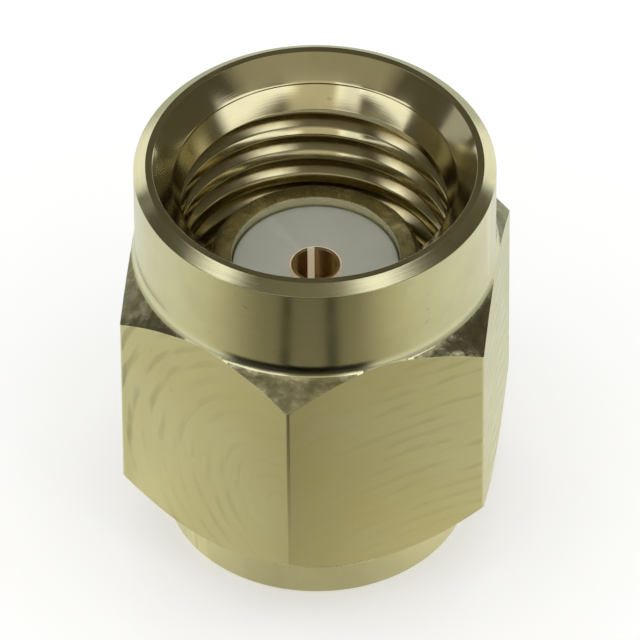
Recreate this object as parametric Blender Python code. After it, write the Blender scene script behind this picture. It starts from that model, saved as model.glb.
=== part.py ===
"""Coaxial terminator: a screw-on dummy load for a coaxial socket.

A hexagonal coupling nut spins on a turned body. The body carries a plastic bead, a slotted socket
contact and a small tubular resistor that joins the contact to a cap pressed into the back.

Run with: blender --background --python part.py
The part stands on its closed end at Z = 0, and the mating side opens upwards along +Z.
Sizes below are millimetres and degrees. MM turns them into Blender's metres.
"""

import math

import bmesh
import bpy
from mathutils import Matrix

MM = 0.001

# Facets round a full turn: the outside, the bores and threads, and the small inner pieces.
OUTSIDE_SIDES = 60
BORE_SIDES = 48
SMALL_SIDES = 36
# Points closer than this are one point.
WELD = 0.0001
# How far a cutter runs past the skin it cuts.
OVERCUT = 0.5

# Thread: 1/4-36, whose crests set how wide the pieces inside the nut may be.
THREAD_MAJOR_DIAMETER = 6.38
THREAD_PITCH = 25.4 / 36
THREAD_DEPTH_SHARE = 0.468
THREAD_ROOT_SHARE = 0.125
THREAD_FLANK_ANGLE = 30.0
THREAD_START_ANGLE = 71.25
CREST_OVERRUN_SHARE = 0.14

# Coupling nut, built outwards from the thread.
COUNTERSINK_WIDTH = 0.325
COUNTERSINK_HALF_ANGLE = 30.0
LIP_WIDTH = 0.145
LIP_CHAMFER_WIDTH = 0.26
LIP_CHAMFER_HEIGHT = 0.19
COLLAR_LENGTH = 2.47
FLAT_STEP = 0.05
HEX_CHAMFER_SLOPE = 45.0
MOUTH_DEPTH = 2.78
RELIEF_DEPTH = 0.09
RELIEF_TURNS = 1.84
RELIEF_SETBACK = 1.07
NUT_GROOVE_DEPTH = 0.34
REAR_LAND_WIDTH = 0.60

# Body, built inwards from the thread.
BARREL_SIDE_GAP = 0.16
SHOULDER_WIDTH = 0.41
SLEEVE_WALL = 0.46
SLEEVE_LENGTH = 2.52
SLEEVE_EDGE = 0.10
BEAD_SEAT_WIDTH = 0.38
FLANGE_WIDTH = 0.63
FLANGE_THICKNESS = 0.88
FLANGE_EDGE = 0.10
RING_GROOVE_SETBACK = 1.16
RING_GROOVE_WIDTH = 0.56
BODY_GROOVE_DEPTH = 0.42

# Running clearances, and the gap between pieces that are fitted together.
NUT_RUNNING_CLEARANCE = 0.05
NUT_END_GAP = 0.05
FIT_GAP = 0.02

# Retaining ring.
RING_RADIAL_WIDTH = 0.56
RING_THICKNESS = 0.40
RING_GAP_ANGLE = 34.0

# Gasket.
GASKET_SIDE_GAP = 0.08
GASKET_THICKNESS = 0.62
GASKET_EDGE = 0.10

# Bead.
BEAD_RECESS = 0.24
BEAD_EDGE = 0.04

# Socket contact: a slotted collet with a cup behind it.
SOCKET_DIAMETER = 0.98
SOCKET_WALL = 0.10
SOCKET_DEPTH = 2.00
SOCKET_FLOOR = 0.30
SOCKET_DRILL_SLOPE = 30.0
SOCKET_MOUTH_EDGE = 0.04
SLOT_WIDTH = 0.13
SLOT_DEPTH = 1.70
SLOT_OFFSET = -0.10
SLOT_ANGLE = 7.9
CUP_WALL = 0.26
CUP_DEPTH = 0.60
CUP_WEB = 0.50
CUP_CAPTURE = 0.50

# Resistor.
RESISTOR_LENGTH = 3.60
RESISTOR_ROD_DIAMETER = 1.18
RESISTOR_CAP_LENGTH = 0.70
RESISTOR_CAP_WALL = 0.08
RESISTOR_EDGE = 0.06

# End cap.
END_CAP_STEP = 0.45
END_CAP_FLOOR = 0.44
END_CAP_SEAT_DEPTH = 0.40
END_CAP_EDGE = 0.06

# Radii of the nut, from the thread outwards.
MAJOR_RADIUS = THREAD_MAJOR_DIAMETER / 2
MINOR_RADIUS = MAJOR_RADIUS - THREAD_PITCH * THREAD_DEPTH_SHARE
MOUTH_RADIUS = MAJOR_RADIUS + COUNTERSINK_WIDTH
LIP_RADIUS = MOUTH_RADIUS + LIP_WIDTH
COLLAR_RADIUS = LIP_RADIUS + LIP_CHAMFER_WIDTH
FLAT_RADIUS = COLLAR_RADIUS + FLAT_STEP
CORNER_RADIUS = FLAT_RADIUS / math.cos(math.radians(30))

# Radii of the body and what it holds, from the thread inwards.
BARREL_RADIUS = MINOR_RADIUS - BARREL_SIDE_GAP
NUT_BORE_RADIUS = BARREL_RADIUS + NUT_RUNNING_CLEARANCE
SLEEVE_RADIUS = BARREL_RADIUS - SHOULDER_WIDTH
BEAD_BORE_RADIUS = SLEEVE_RADIUS - SLEEVE_WALL
CAVITY_RADIUS = BEAD_BORE_RADIUS - BEAD_SEAT_WIDTH
END_CAP_RADIUS = CAVITY_RADIUS + END_CAP_STEP
CONTACT_RADIUS = SOCKET_DIAMETER / 2 + SOCKET_WALL
RESISTOR_CAP_RADIUS = RESISTOR_ROD_DIAMETER / 2 + FIT_GAP + RESISTOR_CAP_WALL
RESISTOR_SEAT_RADIUS = RESISTOR_CAP_RADIUS + FIT_GAP
CUP_RADIUS = RESISTOR_SEAT_RADIUS + CUP_WALL

# Heights above the rest face, stacked from the end cap up through the resistor to the nut's mouth.
RESISTOR_REAR_Z = END_CAP_FLOOR + FIT_GAP
RESISTOR_FRONT_Z = RESISTOR_REAR_Z + RESISTOR_LENGTH
CUP_FLOOR_Z = RESISTOR_FRONT_Z + FIT_GAP
CUP_REAR_Z = CUP_FLOOR_Z - CUP_DEPTH
CUP_FRONT_Z = CUP_FLOOR_Z + CUP_WEB
BEAD_FRONT_Z = CUP_FRONT_Z + SOCKET_FLOOR + SOCKET_DEPTH
BEAD_REAR_Z = CUP_FRONT_Z - CUP_CAPTURE
SLEEVE_FRONT_Z = BEAD_FRONT_Z + BEAD_RECESS
SHOULDER_Z = SLEEVE_FRONT_Z - SLEEVE_LENGTH
NUT_FRONT_Z = SLEEVE_FRONT_Z + MOUTH_DEPTH
NUT_REAR_Z = FLANGE_THICKNESS + NUT_END_GAP
GROOVE_REAR_Z = FLANGE_THICKNESS + RING_GROOVE_SETBACK
GROOVE_FRONT_Z = GROOVE_REAR_Z + RING_GROOVE_WIDTH

# Colour, roughness and metallic value of each finish.
FINISHES = {
    "pale_gold_plate": ((0.72, 0.64, 0.38), 0.22, 1.0),
    "deep_gold_plate": ((0.80, 0.62, 0.28), 0.20, 1.0),
    "white_fluoroplastic": ((0.80, 0.80, 0.78), 0.45, 0.0),
    "red_silicone": ((0.42, 0.12, 0.06), 0.60, 0.0),
    "spring_bronze": ((0.62, 0.42, 0.24), 0.35, 1.0),
    "coated_ceramic": ((0.20, 0.32, 0.42), 0.50, 0.0),
    "tinned_cap": ((0.66, 0.66, 0.64), 0.30, 1.0),
}


def clear_scene():
    for obj in list(bpy.data.objects):
        bpy.data.objects.remove(obj)


def finish_material(name):
    colour, roughness, metallic = FINISHES[name]
    material = bpy.data.materials.get(name) or bpy.data.materials.new(name)
    material.use_nodes = True
    shader = material.node_tree.nodes["Principled BSDF"]
    shader.inputs["Base Color"].default_value = (*colour, 1.0)
    shader.inputs["Roughness"].default_value = roughness
    shader.inputs["Metallic"].default_value = metallic
    return material


def add_object(name, bm, finish=None):
    """Puts a finished bmesh, drawn in millimetres, in the scene as an object in metres."""
    bmesh.ops.remove_doubles(bm, verts=bm.verts, dist=WELD)
    bmesh.ops.recalc_face_normals(bm, faces=bm.faces)
    bmesh.ops.scale(bm, vec=(MM, MM, MM), verts=bm.verts)
    mesh = bpy.data.meshes.new(name)
    bm.to_mesh(mesh)
    bm.free()
    mesh.shade_smooth()
    mesh.set_sharp_from_angle(angle=math.radians(25))
    obj = bpy.data.objects.new(name, mesh)
    bpy.context.scene.collection.objects.link(obj)
    if finish:
        mesh.materials.append(finish_material(finish))
    return obj


def turned(name, section, finish=None, sides=BORE_SIDES, sweep=360.0, start=0.0):
    """A lathe part: a closed section of (radius, z) corners spun about the Z axis."""
    bm = bmesh.new()
    corners = [bm.verts.new((radius, 0, z)) for radius, z in section]
    face = bm.faces.new(corners)
    bmesh.ops.rotate(bm, verts=corners, cent=(0, 0, 0), matrix=Matrix.Rotation(math.radians(start), 3, "Z"))
    full_turn = sweep >= 360
    bmesh.ops.spin(
        bm,
        geom=[face] if not full_turn else list(face.edges),
        cent=(0, 0, 0),
        axis=(0, 0, 1),
        angle=math.radians(sweep),
        steps=max(3, round(sides * sweep / 360)),
        use_merge=False,
        use_duplicate=False,
    )
    if full_turn:
        bm.faces.remove(face)
    bmesh.ops.remove_doubles(bm, verts=bm.verts, dist=WELD)
    on_axis = [edge for edge in bm.edges if edge.is_wire]
    bmesh.ops.delete(bm, geom=on_axis, context="EDGES")
    return add_object(name, bm, finish)


def as_cutter(obj):
    obj.hide_render = True
    obj.display_type = "WIRE"
    return obj


def boolean(obj, other, operation):
    """Cuts obj by other, or keeps what they share, with other left as a hidden cutter."""
    modifier = obj.modifiers.new(other.name, "BOOLEAN")
    modifier.operation = operation
    modifier.solver = "EXACT"
    modifier.object = as_cutter(other)


def rise(run, slope):
    """Height gained along a slope in degrees from the horizontal, over a horizontal run."""
    return run * math.tan(math.radians(slope))


def hexagonal_bar(name, low, high):
    """A bar with its corners towards -Y and +Y and a pair of flats facing +X and -X."""
    bm = bmesh.new()
    made = bmesh.ops.create_circle(
        bm, cap_ends=True, segments=6, radius=CORNER_RADIUS, matrix=Matrix.Translation((0, 0, low))
    )
    bmesh.ops.extrude_face_region(bm, geom=list(bm.faces))
    top = [v for v in bm.verts if v not in made["verts"]]
    bmesh.ops.translate(bm, verts=top, vec=(0, 0, high - low))
    return add_object(name, bm)


def helical_groove(name, low, high):
    """The space between the thread's crests: a 60 degree groove swept up a right-hand helix."""
    root_half = THREAD_PITCH * THREAD_ROOT_SHARE / 2
    inner = MINOR_RADIUS - THREAD_PITCH * CREST_OVERRUN_SHARE
    outer = MAJOR_RADIUS
    mouth_half = root_half + rise(outer - inner, THREAD_FLANK_ANGLE)
    section = ((inner, -mouth_half), (outer, -root_half), (outer, root_half), (inner, mouth_half))
    steps = math.ceil((high - low) / THREAD_PITCH * BORE_SIDES)
    bm = bmesh.new()
    rows = []
    for step in range(steps + 1):
        turn = step / BORE_SIDES
        angle = math.tau * turn + math.radians(THREAD_START_ANGLE)
        height = low + turn * THREAD_PITCH
        rows.append(
            [bm.verts.new((r * math.cos(angle), r * math.sin(angle), height + z)) for r, z in section]
        )
    for below, above in zip(rows, rows[1:]):
        for i in range(len(section)):
            j = (i + 1) % len(section)
            bm.faces.new((below[i], below[j], above[j], above[i]))
    bm.faces.new(rows[0])
    bm.faces.new(rows[-1])
    return add_object(name, bm)


def coupling_nut():
    """The hexagonal nut: turned from bar, bored from behind and threaded from the front."""
    collar_base_z = NUT_FRONT_Z - COLLAR_LENGTH
    past_corner = CORNER_RADIUS + OVERCUT
    rear_face = NUT_BORE_RADIUS + REAR_LAND_WIDTH
    outside = [
        (0, NUT_REAR_Z),
        (rear_face, NUT_REAR_Z),
        (past_corner, NUT_REAR_Z + rise(past_corner - rear_face, HEX_CHAMFER_SLOPE)),
        (past_corner, collar_base_z - rise(past_corner - COLLAR_RADIUS, HEX_CHAMFER_SLOPE)),
        (COLLAR_RADIUS, collar_base_z),
        (COLLAR_RADIUS, NUT_FRONT_Z - LIP_CHAMFER_HEIGHT),
        (LIP_RADIUS, NUT_FRONT_Z),
        (0, NUT_FRONT_Z),
    ]
    half_facet = 180 / OUTSIDE_SIDES
    nut = turned("coupling_nut", outside, "pale_gold_plate", OUTSIDE_SIDES, start=half_facet)
    boolean(nut, hexagonal_bar("nut_hex_bar", NUT_REAR_Z - OVERCUT, NUT_FRONT_Z + OVERCUT), "INTERSECT")

    groove = NUT_BORE_RADIUS + NUT_GROOVE_DEPTH
    relief = MAJOR_RADIUS + RELIEF_DEPTH
    relief_rear_z = SHOULDER_Z - RELIEF_SETBACK
    relief_front_z = relief_rear_z + THREAD_PITCH * RELIEF_TURNS
    cone_slope = 90 - COUNTERSINK_HALF_ANGLE
    past_mouth = MOUTH_RADIUS + rise(OVERCUT, COUNTERSINK_HALF_ANGLE)
    bore = [
        (0, NUT_REAR_Z - OVERCUT),
        (NUT_BORE_RADIUS, NUT_REAR_Z - OVERCUT),
        (NUT_BORE_RADIUS, GROOVE_REAR_Z),
        (groove, GROOVE_REAR_Z),
        (groove, GROOVE_FRONT_Z),
        (NUT_BORE_RADIUS, GROOVE_FRONT_Z),
        (NUT_BORE_RADIUS, relief_rear_z),
        (relief, relief_rear_z),
        (relief, relief_front_z),
        (MINOR_RADIUS, relief_front_z + rise(relief - MINOR_RADIUS, THREAD_FLANK_ANGLE)),
        (MINOR_RADIUS, NUT_FRONT_Z - rise(MOUTH_RADIUS - MINOR_RADIUS, cone_slope)),
        (past_mouth, NUT_FRONT_Z + OVERCUT),
        (0, NUT_FRONT_Z + OVERCUT),
    ]
    boolean(nut, turned("nut_bore_cutter", bore), "DIFFERENCE")
    thread = helical_groove("nut_thread_cutter", relief_rear_z + THREAD_PITCH, NUT_FRONT_Z)
    boolean(nut, thread, "DIFFERENCE")
    return nut


def terminator_body():
    """The turned body: rear flange, barrel with the ring groove, and the front sleeve."""
    flange = BARREL_RADIUS + FLANGE_WIDTH
    groove = BARREL_RADIUS - BODY_GROOVE_DEPTH
    cap_seat = END_CAP_RADIUS + FIT_GAP
    cap_seat_z = END_CAP_FLOOR + END_CAP_SEAT_DEPTH + FIT_GAP
    bead_seat_z = BEAD_REAR_Z - FIT_GAP
    section = [
        (cap_seat, 0),
        (flange - FLANGE_EDGE, 0),
        (flange, FLANGE_EDGE),
        (flange, FLANGE_THICKNESS - FLANGE_EDGE),
        (flange - FLANGE_EDGE, FLANGE_THICKNESS),
        (BARREL_RADIUS, FLANGE_THICKNESS),
        (BARREL_RADIUS, GROOVE_REAR_Z),
        (groove, GROOVE_REAR_Z),
        (groove, GROOVE_FRONT_Z),
        (BARREL_RADIUS, GROOVE_FRONT_Z),
        (BARREL_RADIUS, SHOULDER_Z),
        (SLEEVE_RADIUS, SHOULDER_Z),
        (SLEEVE_RADIUS, SLEEVE_FRONT_Z - SLEEVE_EDGE),
        (SLEEVE_RADIUS - SLEEVE_EDGE, SLEEVE_FRONT_Z),
        (BEAD_BORE_RADIUS, SLEEVE_FRONT_Z),
        (BEAD_BORE_RADIUS, bead_seat_z),
        (CAVITY_RADIUS, bead_seat_z),
        (CAVITY_RADIUS, cap_seat_z),
        (cap_seat, cap_seat_z),
    ]
    return turned("terminator_body", section, "deep_gold_plate", OUTSIDE_SIDES)


def retaining_ring():
    """The split ring that sits half in the body's groove and half in the nut's."""
    groove_space = BODY_GROOVE_DEPTH + NUT_RUNNING_CLEARANCE + NUT_GROOVE_DEPTH
    inner = BARREL_RADIUS - BODY_GROOVE_DEPTH + (groove_space - RING_RADIAL_WIDTH) / 2
    outer = inner + RING_RADIAL_WIDTH
    low = GROOVE_REAR_Z + (RING_GROOVE_WIDTH - RING_THICKNESS) / 2
    high = low + RING_THICKNESS
    edge = RING_THICKNESS / 4
    section = [
        (inner + edge, low),
        (outer - edge, low),
        (outer, low + edge),
        (outer, high - edge),
        (outer - edge, high),
        (inner + edge, high),
        (inner, high - edge),
        (inner, low + edge),
    ]
    return turned(
        "retaining_ring", section, "spring_bronze", SMALL_SIDES, 360 - RING_GAP_ANGLE, RING_GAP_ANGLE / 2
    )


def gasket():
    """The rubber washer round the sleeve, which the mating socket's end presses on."""
    inner = SLEEVE_RADIUS + FIT_GAP
    outer = MINOR_RADIUS - GASKET_SIDE_GAP
    low = SHOULDER_Z + FIT_GAP
    high = low + GASKET_THICKNESS
    section = [
        (inner, low),
        (outer - GASKET_EDGE, low),
        (outer, low + GASKET_EDGE),
        (outer, high - GASKET_EDGE),
        (outer - GASKET_EDGE, high),
        (inner + GASKET_EDGE, high),
        (inner, high - GASKET_EDGE),
    ]
    return turned("gasket", section, "red_silicone", BORE_SIDES)


def dielectric_bead():
    """The white plastic bead that holds the contact on the axis."""
    outer = BEAD_BORE_RADIUS - FIT_GAP
    bore = CONTACT_RADIUS + FIT_GAP
    cup_bore = CUP_RADIUS + FIT_GAP
    section = [
        (cup_bore, BEAD_REAR_Z),
        (outer - BEAD_EDGE, BEAD_REAR_Z),
        (outer, BEAD_REAR_Z + BEAD_EDGE),
        (outer, BEAD_FRONT_Z - BEAD_EDGE),
        (outer - BEAD_EDGE, BEAD_FRONT_Z),
        (bore, BEAD_FRONT_Z),
        (bore, CUP_FRONT_Z + FIT_GAP),
        (cup_bore, CUP_FRONT_Z + FIT_GAP),
    ]
    return turned("dielectric_bead", section, "white_fluoroplastic")


def saw_cut():
    """The saw's path down the collet, a little to one side of the axis."""
    bm = bmesh.new()
    bmesh.ops.create_cube(bm, size=1)
    width = 2 * CONTACT_RADIUS + OVERCUT
    bmesh.ops.scale(bm, vec=(SLOT_WIDTH, width, SLOT_DEPTH + OVERCUT), verts=bm.verts)
    middle_z = BEAD_FRONT_Z + (OVERCUT - SLOT_DEPTH) / 2
    bmesh.ops.translate(bm, vec=(SLOT_OFFSET, 0, middle_z), verts=bm.verts)
    bmesh.ops.rotate(bm, verts=bm.verts, matrix=Matrix.Rotation(math.radians(SLOT_ANGLE), 3, "Z"))
    return add_object("contact_slot_cutter", bm)


def center_contact():
    """The socket contact: a slotted collet in front, and a cup behind for the resistor."""
    socket = SOCKET_DIAMETER / 2
    socket_floor_z = BEAD_FRONT_Z - SOCKET_DEPTH
    section = [
        (0, CUP_FLOOR_Z),
        (RESISTOR_SEAT_RADIUS, CUP_FLOOR_Z),
        (RESISTOR_SEAT_RADIUS, CUP_REAR_Z),
        (CUP_RADIUS, CUP_REAR_Z),
        (CUP_RADIUS, CUP_FRONT_Z),
        (CONTACT_RADIUS, CUP_FRONT_Z),
        (CONTACT_RADIUS, BEAD_FRONT_Z),
        (socket + SOCKET_MOUTH_EDGE, BEAD_FRONT_Z),
        (socket, BEAD_FRONT_Z - SOCKET_MOUTH_EDGE),
        (socket, socket_floor_z),
        (0, socket_floor_z - rise(socket, SOCKET_DRILL_SLOPE)),
    ]
    contact = turned("center_contact", section, "deep_gold_plate", SMALL_SIDES)
    boolean(contact, saw_cut(), "DIFFERENCE")
    return contact


def resistor_rod():
    """The coated ceramic rod between the two end caps."""
    radius = RESISTOR_ROD_DIAMETER / 2
    inset = RESISTOR_CAP_WALL + FIT_GAP
    low = RESISTOR_REAR_Z + inset
    high = RESISTOR_FRONT_Z - inset
    section = [
        (0, low),
        (radius - RESISTOR_EDGE, low),
        (radius, low + RESISTOR_EDGE),
        (radius, high - RESISTOR_EDGE),
        (radius - RESISTOR_EDGE, high),
        (0, high),
    ]
    return turned("resistor_rod", section, "coated_ceramic", SMALL_SIDES)


def resistor_cap(name, closed_z, inwards):
    """One pressed metal cap. inwards is +1 where the open end faces up, and -1 where it faces down."""
    inner = RESISTOR_ROD_DIAMETER / 2 + FIT_GAP
    open_z = closed_z + inwards * RESISTOR_CAP_LENGTH
    floor_z = closed_z + inwards * RESISTOR_CAP_WALL
    section = [
        (0, closed_z),
        (RESISTOR_CAP_RADIUS - RESISTOR_EDGE, closed_z),
        (RESISTOR_CAP_RADIUS, closed_z + inwards * RESISTOR_EDGE),
        (RESISTOR_CAP_RADIUS, open_z),
        (inner, open_z),
        (inner, floor_z),
        (0, floor_z),
    ]
    return turned(name, section, "tinned_cap", SMALL_SIDES)


def end_cap():
    """The disc pressed into the back of the body, with a blind seat for the resistor."""
    seat_mouth_z = END_CAP_FLOOR + END_CAP_SEAT_DEPTH
    section = [
        (0, 0),
        (END_CAP_RADIUS - END_CAP_EDGE, 0),
        (END_CAP_RADIUS, END_CAP_EDGE),
        (END_CAP_RADIUS, seat_mouth_z),
        (RESISTOR_SEAT_RADIUS, seat_mouth_z),
        (RESISTOR_SEAT_RADIUS, END_CAP_FLOOR),
        (0, END_CAP_FLOOR),
    ]
    return turned("end_cap", section, "deep_gold_plate")


def main():
    clear_scene()
    body = terminator_body()
    fixed = [
        retaining_ring(),
        gasket(),
        dielectric_bead(),
        center_contact(),
        resistor_rod(),
        resistor_cap("resistor_front_cap", RESISTOR_FRONT_Z, -1),
        resistor_cap("resistor_rear_cap", RESISTOR_REAR_Z, 1),
        end_cap(),
    ]
    for piece in fixed:
        piece.parent = body
    coupling_nut()


main()
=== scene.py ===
"""Dresses the coaxial terminator: turned, threaded and milled gold-plated pieces, and a small studio.

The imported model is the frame. Each visible piece is modelled again at full finish where its plain
solid stands, and the pieces sealed inside keep their solids and get a finish.
"""

import math

import bpy
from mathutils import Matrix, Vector


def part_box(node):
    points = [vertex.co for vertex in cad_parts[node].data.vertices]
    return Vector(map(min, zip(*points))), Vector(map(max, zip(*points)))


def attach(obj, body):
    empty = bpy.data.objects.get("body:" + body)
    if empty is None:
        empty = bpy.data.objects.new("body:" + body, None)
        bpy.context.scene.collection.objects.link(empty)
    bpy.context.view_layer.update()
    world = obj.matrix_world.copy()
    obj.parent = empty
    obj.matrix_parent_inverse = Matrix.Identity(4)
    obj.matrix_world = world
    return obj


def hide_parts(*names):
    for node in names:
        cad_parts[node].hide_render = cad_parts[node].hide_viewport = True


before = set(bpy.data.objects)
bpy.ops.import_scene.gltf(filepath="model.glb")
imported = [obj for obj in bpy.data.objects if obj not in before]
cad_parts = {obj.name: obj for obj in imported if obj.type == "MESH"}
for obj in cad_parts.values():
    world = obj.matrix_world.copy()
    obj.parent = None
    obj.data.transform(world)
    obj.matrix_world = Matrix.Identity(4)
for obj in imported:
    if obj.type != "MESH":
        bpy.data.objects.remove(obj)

bl_info = {
    "name": "Coaxial terminator",
    "version": (1, 0, 0),
    "blender": (4, 5, 0),
    "location": "3D View > Sidebar > Terminator",
    "description": "Models the pieces of a coaxial terminator and lights them on a pale floor",
    "category": "Add Mesh",
}

MM = 0.001
NUT_LOW, NUT_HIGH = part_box("coupling_nut")
BODY_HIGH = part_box("terminator_body")[1]
BEAD_LOW, BEAD_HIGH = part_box("dielectric_bead")
CONTACT_LOW, CONTACT_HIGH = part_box("center_contact")
GASKET_LOW, GASKET_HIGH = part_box("gasket")
CAP_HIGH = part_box("end_cap")[1]
# Vertices closer than this are merged.
WELD = 1e-8


def length(name, description, default):
    return bpy.props.FloatProperty(
        name=name, description=description, default=default, unit="LENGTH", precision=6
    )


def angle(name, description, degrees):
    return bpy.props.FloatProperty(
        name=name, description=description, default=math.radians(degrees), subtype="ANGLE"
    )


def colour(name, description, default):
    return bpy.props.FloatVectorProperty(
        name=name, description=description, default=default, subtype="COLOR", size=3, min=0, max=1
    )


def share(name, description, default):
    return bpy.props.FloatProperty(name=name, description=description, default=default, min=0)


class NutSizes(bpy.types.PropertyGroup):
    """Sizes of the coupling nut."""

    across_flats: length("Across flats", "Distance between opposite flats", NUT_HIGH.x - NUT_LOW.x)
    rear_z: length("Rear face", "Height of the rear face", NUT_LOW.z)
    front_z: length("Front face", "Height of the front face", NUT_HIGH.z)
    rear_radius: length("Rear face radius", "Where the rear chamfer begins", 3.35 * MM)
    collar_radius: length("Collar radius", "Radius of the round front collar", 3.92 * MM)
    collar_length: length("Collar length", "From the front face to the hexagon's chamfer", 2.47 * MM)
    lip_chamfer_width: length("Lip chamfer width", "Radial width of the outer lip chamfer", 0.26 * MM)
    lip_chamfer_height: length("Lip chamfer height", "Height of the outer lip chamfer", 0.19 * MM)
    collar_fillet: length("Collar fillet", "Radius at the foot of the collar", 0.60 * MM)
    lip_width: length("Lip width", "Width of the flat ring at the front", 0.145 * MM)
    corner_break: length("Corner break", "Width broken off the hexagon's upright corners", 0.035 * MM)
    edge_break: length("Edge break", "Radius worn on the other edges", 0.014 * MM)
    major_radius: length("Thread major radius", "Radius at the thread's roots", 3.19 * MM)
    minor_radius: length("Thread minor radius", "Radius at the thread's crests", 2.86 * MM)
    pitch: length("Thread pitch", "Rise of the thread in one turn", 25.4 / 36 * MM)
    crest_facet: length("Crest facet", "Width of the crest's facet towards the mouth", 0.13 * MM)
    crest_shoulder: length("Crest shoulder", "Radius between that facet and the flank", 0.13 * MM)
    crest_back: length("Crest back", "Radius of the crest's other side", 0.05 * MM)
    crest_tip: length("Crest tip", "Radius between the two", 0.06 * MM)
    flank_slope: angle("Flank slope", "Slope of the flank that faces the mouth", 36)
    countersink_width: length("Countersink width", "Radial width of the cone inside the lip", 0.415 * MM)
    countersink_depth: length("Countersink depth", "Height of that cone", 0.47 * MM)
    ledge_width: length("Ledge width", "Radial width of the hairline ledge at its foot", 0.042 * MM)
    ledge_depth: length("Ledge depth", "Height of that ledge", 0.076 * MM)
    lead_in_width: length("Lead-in width", "Radial width of the facet before the thread", 0.20 * MM)
    lead_in_height: length("Lead-in height", "Height of that facet", 0.275 * MM)
    first_groove_width: length("First groove width", "Radial width of the facet above it", 0.11 * MM)
    first_groove_height: length("First groove height", "Height of the facet above", 0.183 * MM)
    lead_in_depth: length("Lead-in depth", "From the front face to where the thread is full", 1.108 * MM)
    thread_start: angle("Thread start", "Where the helix starts round the axis", 277.9)
    thread_start_z: length("Thread start height", "Height of the crest at the start", 4.13 * MM)
    relief_radius: length("Relief radius", "Radius of the relief behind the thread", 3.28 * MM)
    relief_rear_z: length("Relief rear", "Height where the relief begins", 3.53 * MM)
    relief_length: length("Relief length", "Length of the relief", 1.30 * MM)
    bore_radius: length("Rear bore radius", "Radius of the bore that turns on the barrel", 2.75 * MM)
    groove_radius: length("Ring groove radius", "Bottom of the retaining ring's groove", 3.09 * MM)
    groove_rear_z: length("Ring groove rear", "Lower side of the retaining ring's groove", 2.04 * MM)
    groove_width: length("Ring groove width", "Width of the retaining ring's groove", 0.56 * MM)


class BodySizes(bpy.types.PropertyGroup):
    """Sizes of the turned body, its bead, contact, gasket and end cap."""

    flange_radius: length("Flange radius", "Radius of the round rear end", BODY_HIGH.x)
    flange_thickness: length("Flange thickness", "Height of the round rear end", 0.88 * MM)
    flange_edge: length("Flange edge", "Bevel on the rear end's edge", 0.10 * MM)
    flange_front_edge: length("Flange front edge", "Bevel where the rear end meets the nut", 0.035 * MM)
    barrel_radius: length("Barrel radius", "Radius of the barrel in the nut's bore", 2.70 * MM)
    groove_radius: length("Ring groove radius", "Bottom of the ring groove", 2.28 * MM)
    groove_rear_z: length("Ring groove rear", "Lower side of the ring groove", 2.04 * MM)
    groove_width: length("Ring groove width", "Width of the ring groove", 0.56 * MM)
    shoulder_z: length("Shoulder height", "Where the gasket rests", 4.60 * MM)
    sleeve_radius: length("Sleeve radius", "Outside of the front sleeve", 2.29 * MM)
    sleeve_edge: length("Sleeve edge", "Bevel at the sleeve's front", 0.10 * MM)
    sleeve_front_z: length("Sleeve front", "Height of the sleeve's front ring", BODY_HIGH.z)
    bead_bore_radius: length("Bead bore radius", "Inside of the sleeve", 1.83 * MM)
    bead_seat_z: length("Bead seat", "Where the bead stops", 4.06 * MM)
    cavity_radius: length("Cavity radius", "Inside of the resistor's cavity", 1.45 * MM)
    cap_seat_radius: length("Cap seat radius", "Counterbore for the end cap", CAP_HIGH.x + 0.02 * MM)
    cap_seat_z: length("Cap seat depth", "Height of the end cap's counterbore", CAP_HIGH.z + 0.02 * MM)
    contact_radius: length("Contact radius", "Outside of the slotted collet", 0.54 * MM)
    socket_radius: length("Socket radius", "Inside of the collet", 0.465 * MM)
    socket_depth: length("Socket depth", "Depth of the collet's bore", 2.00 * MM)
    slot_width: length("Slot width", "Width of the saw cut", 0.15 * MM)
    slot_depth: length("Slot depth", "Depth of the saw cut", 1.70 * MM)
    slot_offset: length("Slot offset", "How far the saw cut lies beside the axis", -0.10 * MM)
    slot_angle: angle("Slot angle", "Which way the saw cut runs", 7.9)
    cup_front_z: length("Cup front", "Where the contact widens", 4.58 * MM)
    cup_floor_z: length("Cup floor", "Bottom of the resistor's cup", 4.08 * MM)
    resistor_seat_radius: length("Resistor seat radius", "Inside of the resistor's seats", 0.71 * MM)


class Finishes(bpy.types.PropertyGroup):
    """Colours of the finishes."""

    nut_gold: colour("Nut plating", "Pale gold plate of the nut", (0.80, 0.77, 0.50))
    # Painted shade: a darker copy of the nut's plate, for the faces inside the nut and the thread's
    # crests.
    shaded_mouth_gold: colour("Inside plating", "Duller plate inside the nut", (0.70, 0.65, 0.42))
    # Painted shade: a darker brown that stands in for the shade down in the thread's grooves.
    groove_shade_brown: colour("Thread grooves", "Thin, tarnished plate in the grooves", (0.48, 0.40, 0.21))
    body_gold: colour("Body plating", "Pale gold plate of the body", (0.81, 0.77, 0.52))
    # Painted light: a brighter copy of the body's plate, standing in for light on the sleeve's front ring.
    lit_sleeve_gold: colour("Sleeve plating", "Brighter gold on the sleeve's front", (0.99, 0.92, 0.66))
    contact_gold: colour("Contact plating", "Reddish gold on the contact", (0.78, 0.63, 0.38))
    bead_white: colour("Bead", "White fluoroplastic", (0.60, 0.61, 0.52))
    gasket_brown: colour("Gasket", "Dark silicone rubber", (0.12, 0.045, 0.026))
    bronze: colour("Retaining ring", "Spring bronze", (0.46, 0.25, 0.11))
    lacquer: colour("Resistor", "Lacquer on the resistor", (0.05, 0.12, 0.20))
    tin: colour("Resistor caps", "Dull tin plate", (0.52, 0.52, 0.50))


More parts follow.
